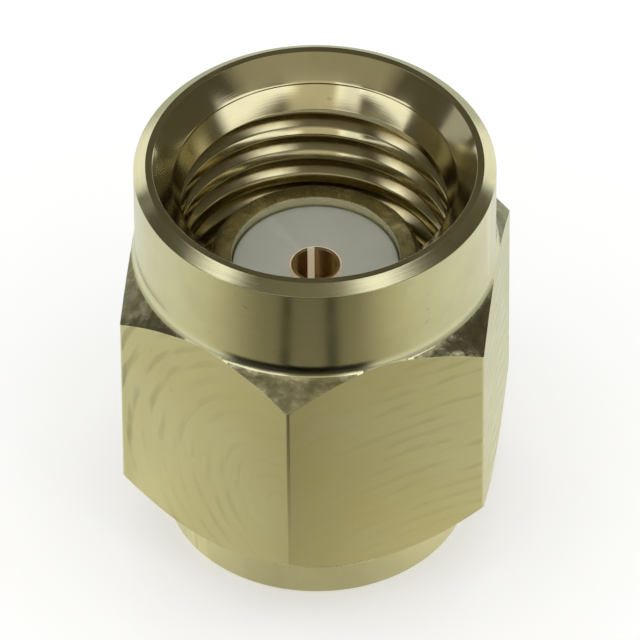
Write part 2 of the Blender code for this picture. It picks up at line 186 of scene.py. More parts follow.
class StageSettings(bpy.types.PropertyGroup):
    """Camera, floor and lamps."""

    camera_azimuth: angle("Camera azimuth", "Camera's place round the part", 7.9)
    camera_elevation: angle("Camera elevation", "Camera's height above the horizon", 44.72)
    camera_distance: length("Camera distance", "From the part to the camera", 300 * MM)
    camera_roll: angle("Camera roll", "Tilt of the frame", -0.46)
    camera_lens: share("Lens", "Focal length in millimetres", 773.8)
    aim_height: length("Aim height", "Height on the axis that the frame's middle shows", 5.16 * MM)
    aim_side: length("Aim side", "How far right of the axis the frame's middle lies", 0.085 * MM)
    floor_white: colour("Floor", "Pale floor", (0.80, 0.80, 0.80))
    dark_azimuth: angle("Dark side", "Where the floor is darkest in reflections, from the camera", -5)
    dark_distance: length("Dark distance", "From the axis to the floor's darkest place", 16 * MM)
    fill_light: colour("Fill light", "The room's light on matt surfaces", (0.75, 0.75, 0.75))
    room: colour("Room", "The dim room in reflections", (0.085, 0.075, 0.05))
    room_tint: colour("Front fill", "Colour of the dim light from the camera's side", (1.0, 0.93, 0.72))
    panel_distance: length("Panel distance", "From the part to each panel lamp", 500 * MM)


def settings():
    scene = bpy.context.scene
    return scene.terminator_nut, scene.terminator_body, scene.terminator_finishes, scene.terminator_stage


# Modelling helpers


def start_clean():
    """Leaves edit mode and deselects everything, so that an operator acts on its own piece only."""
    if bpy.context.object and bpy.context.object.mode != "OBJECT":
        bpy.ops.object.mode_set(mode="OBJECT")
    bpy.ops.object.select_all(action="DESELECT")


def traced(name, outline):
    """A wire in the XZ plane: one vertex, extruded from point to point and closed at the end."""
    start_clean()
    bpy.ops.mesh.primitive_plane_add(size=MM)
    obj = bpy.context.object
    obj.name = name
    bpy.ops.object.mode_set(mode="EDIT")
    bpy.ops.mesh.select_mode(type="VERT")
    bpy.ops.mesh.select_all(action="SELECT")
    bpy.ops.mesh.merge(type="CENTER")
    previous = Vector((0, 0, 0))
    first = True
    for radius, z in outline:
        point = Vector((radius, 0, z))
        if first:
            bpy.ops.transform.translate(value=point - previous)
            first = False
        else:
            bpy.ops.mesh.extrude_region_move(TRANSFORM_OT_translate={"value": point - previous})
        previous = point
    bpy.ops.object.mode_set(mode="OBJECT")
    count = len(obj.data.vertices)
    for vertex in obj.data.vertices:
        vertex.select = vertex.index in (0, count - 1)
    for edge in obj.data.edges:
        edge.select = False
    bpy.ops.object.mode_set(mode="EDIT")
    bpy.ops.mesh.select_mode(type="VERT")
    bpy.ops.mesh.edge_face_add()
    bpy.ops.object.mode_set(mode="OBJECT")
    return obj


def tidy_mesh():
    """Merges doubles and turns every face outwards, in edit mode."""
    bpy.ops.mesh.select_all(action="SELECT")
    bpy.ops.mesh.remove_doubles(threshold=WELD)
    bpy.ops.mesh.dissolve_degenerate(threshold=WELD)
    bpy.ops.mesh.delete_loose()
    bpy.ops.mesh.select_all(action="SELECT")
    bpy.ops.mesh.normals_make_consistent(inside=False)


def turned(name, outline, sides):
    """A lathe piece: a closed outline of (radius, z) points spun about the axis."""
    obj = traced(name, outline)
    bpy.ops.object.mode_set(mode="EDIT")
    bpy.ops.mesh.select_all(action="SELECT")
    bpy.ops.mesh.spin(steps=sides, angle=math.tau, center=(0, 0, 0), axis=(0, 0, 1))
    tidy_mesh()
    bpy.ops.object.mode_set(mode="OBJECT")
    return obj


def rounded(outline, radius, steps=4):
    """The same closed outline with each sharp corner replaced by a small arc of the given radius.

    A point is added just past each end of an arc, so that wear drawn on the edge stays near it.
    """
    points = [Vector(p) for p in outline]
    made = []
    for i, corner in enumerate(points):
        before, after = points[i - 1], points[(i + 1) % len(points)]
        back = (before - corner).normalized()
        ahead = (after - corner).normalized()
        opening = back.angle(ahead)
        if corner.x < MM * 0.001 or opening > math.radians(170):
            made.append(tuple(corner))
            continue
        room = min((before - corner).length, (after - corner).length)
        reach = min(radius / math.tan(opening / 2), room / 3)
        start, end = corner + back * reach, corner + ahead * reach
        past = min(reach + 1.2 * radius, room * 0.45)
        made.append(tuple(corner + back * past))
        for step in range(steps + 1):
            t = step / steps
            made.append(tuple(start * (1 - t) ** 2 + corner * 2 * t * (1 - t) + end * t ** 2))
        made.append(tuple(corner + ahead * past))
    return made


def apply_modifiers(obj):
    start_clean()
    obj.select_set(True)
    bpy.context.view_layer.objects.active = obj
    for modifier in list(obj.modifiers):
        bpy.ops.object.modifier_apply(modifier=modifier.name)


def cut(obj, tool, operation="DIFFERENCE"):
    """Applies a Boolean with the tool and deletes the tool."""
    modifier = obj.modifiers.new("Cut", "BOOLEAN")
    modifier.operation = operation
    modifier.solver = "EXACT"
    modifier.object = tool
    apply_modifiers(obj)
    bpy.data.objects.remove(tool)


def smooth(obj, degrees=32):
    start_clean()
    obj.select_set(True)
    bpy.context.view_layer.objects.active = obj
    bpy.ops.object.shade_smooth_by_angle(angle=math.radians(degrees))


def seat(obj, body, node):
    """The piece rides on its body in place of the plain solid."""
    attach(obj, body)
    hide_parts(node)


# Node helpers


def new_material(name):
    material = bpy.data.materials.new(name)
    material.use_nodes = True
    tree = material.node_tree
    shader = tree.nodes["Principled BSDF"]
    return material, tree, shader


def add(tree, kind, inputs=None, **properties):
    """A node with its properties set, and its inputs set or linked by socket name or index."""
    node = tree.nodes.new(kind)
    for key, value in properties.items():
        setattr(node, key, value)
    for key, value in (inputs or {}).items():
        if isinstance(value, bpy.types.NodeSocket):
            tree.links.new(value, node.inputs[key])
        else:
            node.inputs[key].default_value = value
    return node


def maths(tree, operation, a, b=0.0):
    return add(tree, "ShaderNodeMath", {0: a, 1: b}, operation=operation).outputs[0]


def times(tree, a, b):
    return maths(tree, "MULTIPLY", a, b)


def diagonal(tree, a, b):
    """The diagonal over two distances at right angles."""
    return maths(tree, "SQRT", maths(tree, "ADD", times(tree, a, a), times(tree, b, b)))


def separated(tree, vector):
    return add(tree, "ShaderNodeSeparateXYZ", {0: vector}).outputs


def combined(tree, *parts):
    """A vector of up to three parts."""
    return add(tree, "ShaderNodeCombineXYZ", dict(enumerate(parts))).outputs[0]


def component(tree, vector, way):
    """How far a vector reaches along a unit vector."""
    return add(tree, "ShaderNodeVectorMath", {0: vector, 1: way}, operation="DOT_PRODUCT").outputs["Value"]


def spread(tree, value, low, high, to_low=0.0, to_high=1.0, kind="LINEAR"):
    """Maps a value from one range onto another, clamped."""
    inputs = {"Value": value, "From Min": low, "From Max": high, "To Min": to_low, "To Max": to_high}
    return add(tree, "ShaderNodeMapRange", inputs, interpolation_type=kind).outputs["Result"]


def noise(tree, vector, scale, detail=3.0, roughness=0.5):
    """A grey noise field round 0.5."""
    inputs = {"Vector": vector, "Scale": scale, "Detail": detail, "Roughness": roughness}
    return add(tree, "ShaderNodeTexNoise", inputs, normalize=True).outputs["Fac"]


def blend_colour(tree, factor, first, second):
    """Mixes two colours, each a socket or a plain RGB triple."""
    node = add(tree, "ShaderNodeMix", data_type="RGBA")
    for socket, value in ((node.inputs[0], factor), (node.inputs[6], first), (node.inputs[7], second)):
        if isinstance(value, bpy.types.NodeSocket):
            tree.links.new(value, socket)
        elif isinstance(value, float):
            socket.default_value = value
        else:
            socket.default_value = (*value, 1.0)
    return node.outputs[2]


def scaled_colour(base, factor):
    return tuple(min(1.0, channel * factor) for channel in base)


def cloudy(tree, field, base, low, high, reach=(0.3, 0.7)):
    """A colour that goes from low to high times its base as a noise field goes through its reach."""
    factor = spread(tree, field, *reach)
    return blend_colour(tree, factor, scaled_colour(base, low), scaled_colour(base, high))


def bump(tree, height, strength, depth, below=None):
    """A normal bent by a height field, on top of the normal below where there is one."""
    inputs = {"Strength": strength, "Distance": depth, "Height": height}
    if below is not None:
        inputs["Normal"] = below
    return add(tree, "ShaderNodeBump", inputs).outputs[0]


def dress(tree, shader, tint, rough, normal, metallic=1.0):
    """Gives the shader its colour, roughness and relief."""
    tree.links.new(tint, shader.inputs["Base Color"])
    tree.links.new(rough, shader.inputs["Roughness"])
    tree.links.new(normal, shader.inputs["Normal"])
    shader.inputs["Metallic"].default_value = metallic


def object_position(tree):
    return add(tree, "ShaderNodeTexCoord").outputs["Object"]


def lathe_position(tree):
    """Position as (radius, height, angle), which runs along the tool marks of a turned surface."""
    x, y, z = separated(tree, object_position(tree))
    return diagonal(tree, x, y), z, maths(tree, "ARCTAN2", y, x)


def wear_on_edges(tree, low=0.52, high=0.62):
    """1 on convex edges and 0 elsewhere."""
    pointy = add(tree, "ShaderNodeNewGeometry").outputs["Pointiness"]
    return spread(tree, pointy, low, high)


def turned_gold(name, base, roughness=0.16, mark_depth=0.04):
    """Gold plate on a turned surface, with fine rings left by the tool and faint cloudiness."""
    material, tree, shader = new_material(name)
    position = object_position(tree)
    radius, height, turn = lathe_position(tree)
    marks = combined(tree, times(tree, radius, 40.0), times(tree, height, 40.0), times(tree, turn, 0.004))
    rings = noise(tree, marks, 900.0, 4.0, 0.6)
    clouds = noise(tree, position, 700.0, 3.0, 0.55)
    specks = noise(tree, position, 5200.0, 2.0, 0.5)
    tint = cloudy(tree, clouds, base, 0.94, 1.05, (0.35, 0.65))
    tint = blend_colour(tree, spread(tree, specks, 0.70, 0.78, 0.0, 0.45), tint, scaled_colour(base, 0.60))
    tint = blend_colour(tree, wear_on_edges(tree), tint, scaled_colour(base, 1.12))
    rough = spread(tree, clouds, 0.3, 0.7, roughness * 0.75, roughness * 1.3)
    rough = maths(tree, "ADD", rough, spread(tree, rings, 0.4, 0.7, 0.0, roughness * 0.35))
    dress(tree, shader, tint, rough, bump(tree, rings, mark_depth, 0.02 * MM))
    return material


def thread_gold(name, crest, groove):
    """Gold plate polished on the thread's crests and darker down in its grooves: painted shade."""
    material, tree, shader = new_material(name)
    position = object_position(tree)
    radius = lathe_position(tree)[0]
    stains = noise(tree, position, 2600.0, 3.0, 0.6)
    uneven = times(tree, maths(tree, "SUBTRACT", stains, 0.5), 0.10 * MM)
    # Painted shade: the colour turns to the darker groove colour as the radius nears the thread's roots.
    depth = spread(tree, maths(tree, "ADD", radius, uneven), 3.00 * MM, 3.09 * MM)
    tint = blend_colour(tree, depth, cloudy(tree, stains, crest, 0.96, 1.04, (0.35, 0.65)), groove)
    rough = spread(tree, depth, 0.0, 1.0, 0.10, 0.14)
    rough = maths(tree, "ADD", rough, spread(tree, stains, 0.4, 0.7, 0.0, 0.04))
    dress(tree, shader, tint, rough, bump(tree, stains, 0.04, 0.02 * MM))
    return material


def rippled_gold(name, base):
    """Gold plate over a crimped rim, which isn't quite flat and so mirrors in patches. The sleeve's base
    given here is brighter than the body's plate: painted light.
    """
    material, tree, shader = new_material(name)
    position = object_position(tree)
    ripples = noise(tree, position, 1500.0, 2.0, 0.5)
    stains = noise(tree, position, 2600.0, 3.0, 0.6)
    tint = blend_colour(tree, spread(tree, stains, 0.4, 0.7), base, scaled_colour(base, 0.70))
    tint = blend_colour(tree, wear_on_edges(tree), tint, scaled_colour(base, 1.1))
    rough = spread(tree, stains, 0.3, 0.7, 0.20, 0.32)
    dress(tree, shader, tint, rough, bump(tree, ripples, 0.45, 0.08 * MM))
    return material


def milled_gold(name, base, facing, marks, roughness=0.30):
    """Gold plate on one flat of the hexagon, with the curved marks of a milling cutter.

    facing is the flat's direction round the axis in degrees. The marks are arcs about a centre given
    across the flat and up it, in metres, and fade from the left of the flat to its right.
    """
    centre_across, centre_height, spacing, left, right = marks
    material, tree, shader = new_material(name)
    position = object_position(tree)
    inputs = {"Vector": position, "Angle": math.radians(-facing)}
    turned_to_x = add(tree, "ShaderNodeVectorRotate", inputs, rotation_type="Z_AXIS").outputs[0]
    _, across, height = separated(tree, turned_to_x)
    dx = maths(tree, "SUBTRACT", across, centre_across)
    dz = maths(tree, "SUBTRACT", height, centre_height)
    reach = diagonal(tree, dx, dz)
    along = maths(tree, "DIVIDE", times(tree, maths(tree, "ARCTAN2", dz, dx), reach), 1.2 * MM)
    rows = maths(tree, "DIVIDE", reach, spacing)
    fine_rows = maths(tree, "DIVIDE", reach, spacing * 0.22)
    contrast = spread(tree, across, -1.6 * MM, 1.2 * MM, left, right)
    patches = noise(tree, combined(tree, rows, along, facing), 1.0, 1.0, 0.5)
    drift = noise(tree, position, 700.0, 2.0, 0.5)
    turns = maths(tree, "ADD", rows, times(tree, drift, 0.8))
    scallops = maths(tree, "SINE", times(tree, turns, math.tau))
    stroke = spread(tree, scallops, -0.3, 1.0, kind="SMOOTHERSTEP")
    broad = times(tree, stroke, spread(tree, patches, 0.38, 0.64, kind="SMOOTHERSTEP"))
    fine = noise(tree, combined(tree, fine_rows, times(tree, along, 1.6), facing), 1.0, 2.0, 0.5)
    clouds = noise(tree, position, 300.0, 2.0, 0.5)
    specks = noise(tree, position, 5600.0, 1.0, 0.5)
    marked = times(tree, contrast, broad)
    tint = blend_colour(tree, marked, scaled_colour(base, 1.03), scaled_colour(base, 0.58))
    warm = (base[0] * 0.96, base[1] * 0.90, base[2] * 0.74)
    tint = blend_colour(tree, spread(tree, clouds, 0.38, 0.66, 0.0, 0.6), tint, warm)
    tint = blend_colour(tree, spread(tree, specks, 0.79, 0.83, 0.0, 0.6), tint, scaled_colour(base, 0.45))
    tint = blend_colour(tree, wear_on_edges(tree), tint, scaled_colour(base, 1.10))
    rough = spread(tree, patches, 0.3, 0.7, roughness * 1.2, roughness * 0.8)
    coarse = bump(tree, broad, times(tree, contrast, 0.10), 0.02 * MM)
    dress(tree, shader, tint, rough, bump(tree, fine, 0.09, 0.006 * MM, coarse))
    return material


def faceted_gold(name, base):
    """Gold plate over a rough cone: dull patches of about a tenth of a millimetre with bright sparks."""
    material, tree, shader = new_material(name)
    position = object_position(tree)
    patches = noise(tree, position, 3400.0, 3.0, 0.5)
    inputs = {"Vector": position, "Scale": 6000.0, "Randomness": 1.0}
    facets = add(tree, "ShaderNodeTexVoronoi", inputs, feature="F1").outputs["Distance"]
    dull = (base[0] * 0.37, base[1] * 0.36, base[2] * 0.32)
    tint = blend_colour(tree, spread(tree, patches, 0.38, 0.68), dull, scaled_colour(base, 0.72))
    tint = blend_colour(tree, wear_on_edges(tree, 0.60, 0.75), tint, scaled_colour(base, 0.85))
    rough = spread(tree, patches, 0.35, 0.65, 0.34, 0.24)
    coarse = bump(tree, patches, 0.55, 0.03 * MM)
    dress(tree, shader, tint, rough, bump(tree, facets, 0.30, 0.02 * MM, coarse))
    return material


def waxy_plastic(name, base):
    """White fluoroplastic: soft, slightly translucent, with faint turning rings and a painted glow round
    the contact.
    """
    material, tree, shader = new_material(name)
    position = object_position(tree)
    radius = lathe_position(tree)[0]
    clouds = noise(tree, position, 900.0, 3.0, 0.5)
    rings = noise(tree, combined(tree, radius), 24000.0, 3.0, 0.6)
    tint = cloudy(tree, clouds, base, 0.96, 1.03)
    tint = blend_colour(tree, wear_on_edges(tree), tint, scaled_colour(base, 1.05))
    rough = spread(tree, rings, 0.3, 0.7, 0.36, 0.52)
    dress(tree, shader, tint, rough, bump(tree, rings, 0.12, 0.01 * MM), metallic=0.0)
    shader.inputs["Subsurface Weight"].default_value = 0.8
    shader.inputs["Subsurface Radius"].default_value = (1.0, 1.0, 1.0)
    shader.inputs["Subsurface Scale"].default_value = 0.5 * MM
    # Painted glow: emission on the bead's wall round the contact, standing in for the light that thin
    # fluoroplastic lets through there.
    glow = spread(tree, radius, 0.562 * MM, 0.568 * MM, 0.32, 0.0)
    shader.inputs["Emission Color"].default_value = (0.95, 0.78, 0.56, 1.0)
    tree.links.new(glow, shader.inputs["Emission Strength"])
    return material


def dull_finish(name, base, roughness, metallic):
    """A plain finish with cloudy colour, grain and light wear, for rubber, lacquer, bronze and tin."""
    material, tree, shader = new_material(name)
    position = object_position(tree)
    clouds = noise(tree, position, 800.0, 3.0, 0.5)
    pits = noise(tree, position, 2600.0, 4.0, 0.65)
    tint = cloudy(tree, clouds, base, 0.85, 1.15)
    tint = blend_colour(tree, wear_on_edges(tree), tint, scaled_colour(base, 1.3))
    rough = spread(tree, pits, 0.3, 0.7, roughness * 0.85, roughness * 1.15)
    dress(tree, shader, tint, rough, bump(tree, pits, 0.2, 0.01 * MM), metallic)
    return material


# Pieces

CONE_SLOT, MOUTH_SLOT, THREAD_SLOT = 7, 8, 9
LATHE_SIDES = 192
SMALL_LATHE_SIDES = 96


def filleted(radius, z, fillet, steps=6):
    """Points of the fillet where a cone at 45 degrees meets the foot of a wall at (radius, z)."""
    reach = fillet * math.tan(math.radians(22.5))
    points = []
    for i in range(steps + 1):
        turn = math.radians(45) * (1 - i / steps)
        points.append((radius + fillet * (1 - math.cos(turn)), z + reach - fillet * math.sin(turn)))
    return points


def nut_outline(nut):
    """The nut's section, from the rear bore out over the cones and collar, and back down the bore."""
    flat = nut.across_flats / 2
    past_corner = flat / math.cos(math.radians(30)) + 0.4 * MM
    collar_base_z = nut.front_z - nut.collar_length
    lip = nut.collar_radius - nut.lip_chamfer_width
    mouth = lip - nut.lip_width
    # Below the countersink: a hairline ledge, the thread's first groove and two facets.
    foot, foot_z = mouth - nut.countersink_width, nut.front_z - nut.countersink_depth
    ledge, ledge_z = foot - nut.ledge_width, foot_z - nut.ledge_depth
    lead_z = nut.front_z - nut.lead_in_depth
    facet, facet_z = nut.minor_radius + nut.lead_in_width, lead_z + nut.lead_in_height
    root, root_z = facet + nut.first_groove_width, facet_z + nut.first_groove_height
    relief_front_z = nut.relief_rear_z + nut.relief_length
    taper = (nut.relief_radius - nut.minor_radius) * math.tan(math.radians(30))
    groove_front_z = nut.groove_rear_z + nut.groove_width
    return [
        (nut.bore_radius, nut.rear_z),
        (nut.rear_radius, nut.rear_z),
        (past_corner, nut.rear_z + past_corner - nut.rear_radius),
        (past_corner, collar_base_z - past_corner + nut.collar_radius),
        *filleted(nut.collar_radius, collar_base_z, nut.collar_fillet),
        (nut.collar_radius, nut.front_z - nut.lip_chamfer_height),
        (lip, nut.front_z),
        (mouth, nut.front_z),
        (foot, foot_z),
        (foot - 0.03 * MM, foot_z - 0.046 * MM),
        (ledge, ledge_z),
        (root - 0.01 * MM, root_z + 0.045 * MM),
        (root, root_z),
        (facet, facet_z),
        (nut.minor_radius, lead_z),
        (nut.minor_radius, relief_front_z + taper),
        (nut.relief_radius, relief_front_z),
        (nut.relief_radius, nut.relief_rear_z),
        (nut.bore_radius, nut.relief_rear_z),
        (nut.bore_radius, groove_front_z),
        (nut.groove_radius, groove_front_z),
        (nut.groove_radius, nut.groove_rear_z),
        (nut.bore_radius, nut.groove_rear_z),
    ]


def hexagonal_bar(nut):
    """A hexagonal bar with its upright corners broken, longer than the nut."""
    start_clean()
    corner = nut.across_flats / 2 / math.cos(math.radians(30))
    depth = 2 * nut.front_z
    middle = (0, 0, depth / 4)
    bpy.ops.mesh.primitive_cylinder_add(vertices=6, radius=corner, depth=depth, location=middle)
    bar = bpy.context.object
    bpy.ops.object.transform_apply(location=True)
    bpy.ops.object.mode_set(mode="EDIT")
    bpy.ops.mesh.select_mode(type="EDGE")
    bpy.ops.mesh.select_all(action="DESELECT")
    bpy.ops.object.mode_set(mode="OBJECT")
    for edge in bar.data.edges:
        low, high = (bar.data.vertices[i].co for i in edge.vertices)
        edge.select = abs(high.z - low.z) > MM
    bpy.ops.object.mode_set(mode="EDIT")
    bpy.ops.mesh.bevel(offset=nut.corner_break, segments=3, affect="EDGES")
    bpy.ops.object.mode_set(mode="OBJECT")
    return bar


def crest_section(nut):
    """The groove's section from just above one crest to just below the next, as (radius, z) points.

    The z values are counted from the lower crest's tip. Each arc goes from one slope of the surface to
    another, counted from upright.
    """
    shoulder_end = math.radians(90) - nut.flank_slope
    back_end = math.radians(60)

    def arc(point, radius, start, end, steps):
        """Points of an arc that leaves the given point."""
        made = []
        for i in range(steps + 1):
            turn = start + (end - start) * i / steps
            made.append((
                point[0] + radius * (math.cos(start) - math.cos(turn)),
                point[1] + radius * (math.sin(turn) - math.sin(start)),
            ))
        return made

    lead = math.radians(9)
    tip = (nut.minor_radius + nut.crest_tip * (1 - math.cos(lead)), nut.crest_tip * math.sin(lead))
    facet = math.radians(33)
    lower = arc(tip, nut.crest_tip, lead, facet, 3)
    radius, z = lower[-1]
    end = (radius + nut.crest_facet * math.sin(facet), z + nut.crest_facet * math.cos(facet))
    lower += arc(end, nut.crest_shoulder, facet, shoulder_end, 4)
    radius, z = lower[-1]
    lower.append((nut.major_radius, z + (nut.major_radius - radius) * math.tan(nut.flank_slope)))
    back = (nut.minor_radius + nut.crest_back * (1 - math.cos(lead)), nut.crest_back * math.sin(lead))
    upper = arc(back, nut.crest_back, lead, back_end, 5)
    radius, z = upper[-1]
    upper.append((nut.major_radius, z + (nut.major_radius - radius) / math.tan(back_end)))
    return lower + [(radius, nut.pitch - z) for radius, z in reversed(upper)]


def thread_tool(nut):
    """The thread's groove, swept up a right-hand helix from the relief to the facets at the mouth."""
    section = crest_section(nut)
    # The groove leaves the bore at a slant, with a hair's breadth between one turn and the next.
    gap = 0.006 * MM
    below = [(nut.minor_radius - 0.06 * MM, gap), (nut.minor_radius - 0.0025 * MM, gap)]
    above = [(radius, z + nut.pitch) for radius, z in reversed(below)]
    above = [(radius, z - 2 * gap) for radius, z in above]
    start_z = nut.thread_start_z
    tool = traced("thread_tool", [(radius, z + start_z) for radius, z in below + section + above])
    # Half a side on, so that its steps fall between the bore's.
    tool.rotation_euler.z = nut.thread_start + math.pi / LATHE_SIDES
    start_clean()
    tool.select_set(True)
    bpy.context.view_layer.objects.active = tool
    bpy.ops.object.transform_apply(rotation=True)
    screw = tool.modifiers.new("Helix", "SCREW")
    screw.angle = math.tau
    screw.screw_offset = nut.pitch
    screw.iterations = math.floor((nut.front_z - nut.lead_in_depth - start_z) / nut.pitch)
    screw.steps = LATHE_SIDES
    screw.render_steps = LATHE_SIDES
    apply_modifiers(tool)
    bpy.ops.object.mode_set(mode="EDIT")
    bpy.ops.mesh.select_all(action="SELECT")
    bpy.ops.mesh.remove_doubles(threshold=WELD)
    bpy.ops.mesh.select_all(action="DESELECT")
    bpy.ops.mesh.select_non_manifold()
    bpy.ops.mesh.fill_holes(sides=0)
    tidy_mesh()
    bpy.ops.object.mode_set(mode="OBJECT")
    for face in tool.data.polygons:
        face.material_index = THREAD_SLOT
    return tool


class TERMINATOR_OT_coupling_nut(bpy.types.Operator):
    """Model the hexagonal coupling nut with its inside thread"""

    bl_idname = "terminator.coupling_nut"
    bl_label = "Coupling nut"

    def execute(self, context):
        nut, _, finishes, _ = settings()
        piece = turned("nut_turned", rounded(nut_outline(nut), nut.edge_break), LATHE_SIDES)
        cut(piece, hexagonal_bar(nut), "INTERSECT")
        bevel = piece.modifiers.new("Edge break", "BEVEL")
        bevel.limit_method = "ANGLE"
        bevel.angle_limit = math.radians(33)
        bevel.width = nut.edge_break
        bevel.segments = 2
        apply_modifiers(piece)
        self.add_finishes(piece, finishes)
        cut(piece, thread_tool(nut))
        piece.name = "nut_dressed"
        self.frame_flats(piece, nut)
        smooth(piece)
        self.finish_surfaces(piece, nut)
        seat(piece, "nut", "coupling_nut")
        return {"FINISHED"}

    def flat_number(self, face, nut):
        """Which of the six flats a face lies on, or None."""
        for k in range(6):
            way = Vector((math.cos(math.radians(60 * k)), math.sin(math.radians(60 * k)), 0))
            on_flat = face.center.dot(way) > nut.across_flats / 2 - 0.005 * MM
            if on_flat and face.normal.dot(way) > 0.9999:
                return k
        return None

    def frame_flats(self, piece, nut):
        """Insets each flat a little, so that wear drawn on its edges stays near them."""
        start_clean()
        bpy.context.view_layer.objects.active = piece
        bpy.ops.object.mode_set(mode="EDIT")
        bpy.ops.mesh.select_mode(type="FACE")
        bpy.ops.mesh.select_all(action="DESELECT")
        bpy.ops.object.mode_set(mode="OBJECT")
        for face in piece.data.polygons:
            face.select = self.flat_number(face, nut) is not None
        bpy.ops.object.mode_set(mode="EDIT")
        bpy.ops.mesh.inset(thickness=2 * nut.edge_break)
        bpy.ops.object.mode_set(mode="OBJECT")

    def add_finishes(self, piece, finishes):
        """Slots: 0 turned, 1 to 6 the milled flats, then the rough cones, the mouth and the thread."""
        gold, inside = tuple(finishes.nut_gold), tuple(finishes.shaded_mouth_gold)
        slots = piece.data.materials
        slots.append(turned_gold("turned_pale_gold", gold))
        for k in range(6):
            slots.append(milled_gold(f"milled_pale_gold_{k}", gold, 60.0 * k, self.cutter_marks(k)))
        slots.append(faceted_gold("rough_pale_gold", gold))
        # Painted shade: the mouth and the thread's crests get the darker copy of the nut's plate.
        slots.append(turned_gold("shaded_mouth_gold", inside, 0.11, 0.03))
        slots.append(thread_gold("thread_gold", inside, tuple(finishes.groove_shade_brown)))

    def finish_surfaces(self, piece, nut):
        """Puts each face outside the thread in its slot. The thread's faces have theirs from the tool."""
        collar_base_z = nut.front_z - nut.collar_length
        mouth = nut.collar_radius - nut.lip_chamfer_width - nut.lip_width
        for face in piece.data.polygons:
            k = self.flat_number(face, nut)
            radius, z = face.center.xy.length, face.center.z
            front_cone = radius > nut.collar_radius + 0.085 * MM and z < collar_base_z + 0.2 * MM
            if k is not None:
                face.material_index = k + 1
            elif front_cone and face.normal.z > 0.35:
                face.material_index = CONE_SLOT
            elif -0.8 < face.normal.z < -0.6 and radius > nut.rear_radius:
                face.material_index = CONE_SLOT
            elif face.material_index != THREAD_SLOT and radius < mouth and z > nut.rear_z:
                face.material_index = MOUTH_SLOT

    def cutter_marks(self, k):
        """Marks on flat k: their centre across and up it, spacing, and strength left and right."""
        if k == 4:
            return 2.1 * MM, 3.9 * MM, 0.42 * MM, 0.85, 0.1
        if k == 5:
            return 1.5 * MM, -9.0 * MM, 0.36 * MM, 0.05, 0.28
        return (-3.0 + 1.3 * k) * MM, -4.0 * MM, 0.38 * MM, 0.7, 0.4


class TERMINATOR_OT_body(bpy.types.Operator):
    """Model the turned body"""

    bl_idname = "terminator.body"
    bl_label = "Body"

    def execute(self, context):
        _, body, finishes, _ = settings()
        groove_front_z = body.groove_rear_z + body.groove_width
        edge, front_edge = body.flange_edge, body.flange_front_edge
        outline = [
            (body.cap_seat_radius, 0),
            (body.flange_radius - edge, 0),
            (body.flange_radius, edge),
            (body.flange_radius, body.flange_thickness - front_edge),
            (body.flange_radius - front_edge, body.flange_thickness),
            (body.barrel_radius, body.flange_thickness),
            (body.barrel_radius, body.groove_rear_z),
            (body.groove_radius, body.groove_rear_z),
            (body.groove_radius, groove_front_z),
            (body.barrel_radius, groove_front_z),
            (body.barrel_radius, body.shoulder_z),
            (body.sleeve_radius, body.shoulder_z),
            (body.sleeve_radius, body.sleeve_front_z - body.sleeve_edge),
            (body.sleeve_radius - body.sleeve_edge, body.sleeve_front_z),
            (body.bead_bore_radius, body.sleeve_front_z),
            (body.bead_bore_radius, body.bead_seat_z),
            (body.cavity_radius, body.bead_seat_z),
            (body.cavity_radius, body.cap_seat_z),
            (body.cap_seat_radius, body.cap_seat_z),
        ]
        piece = turned("body_dressed", rounded(outline, 0.02 * MM), LATHE_SIDES)
        smooth(piece)
        piece.data.materials.append(turned_gold("body_gold", tuple(finishes.body_gold), 0.2))
        # Painted light: the sleeve's front gets a brighter copy of the body's plate.
        piece.data.materials.append(rippled_gold("lit_sleeve_gold", tuple(finishes.lit_sleeve_gold)))
        for face in piece.data.polygons:
            if face.center.z > body.sleeve_front_z - 0.3 * MM:
                face.material_index = 1
        seat(piece, "load_body", "terminator_body")
        return {"FINISHED"}


class TERMINATOR_OT_bead(bpy.types.Operator):
    """Model the white bead"""

    bl_idname = "terminator.bead"
    bl_label = "Bead"

    def execute(self, context):
        _, body, finishes, _ = settings()
        outer = BEAD_HIGH.x
        bore = body.contact_radius + 0.02 * MM
        cup_bore = 0.99 * MM
        cup_seat_z = body.cup_front_z + 0.02 * MM
        outline = [
            (cup_bore, BEAD_LOW.z),
            (outer, BEAD_LOW.z),
            (outer, BEAD_HIGH.z),
            (bore, BEAD_HIGH.z),
            (bore, cup_seat_z),
            (cup_bore, cup_seat_z),
        ]
        piece = turned("bead_dressed", rounded(outline, 0.04 * MM), SMALL_LATHE_SIDES)
        smooth(piece)
        piece.data.materials.append(waxy_plastic("white_fluoroplastic", tuple(finishes.bead_white)))
        seat(piece, "load_body", "dielectric_bead")
        return {"FINISHED"}


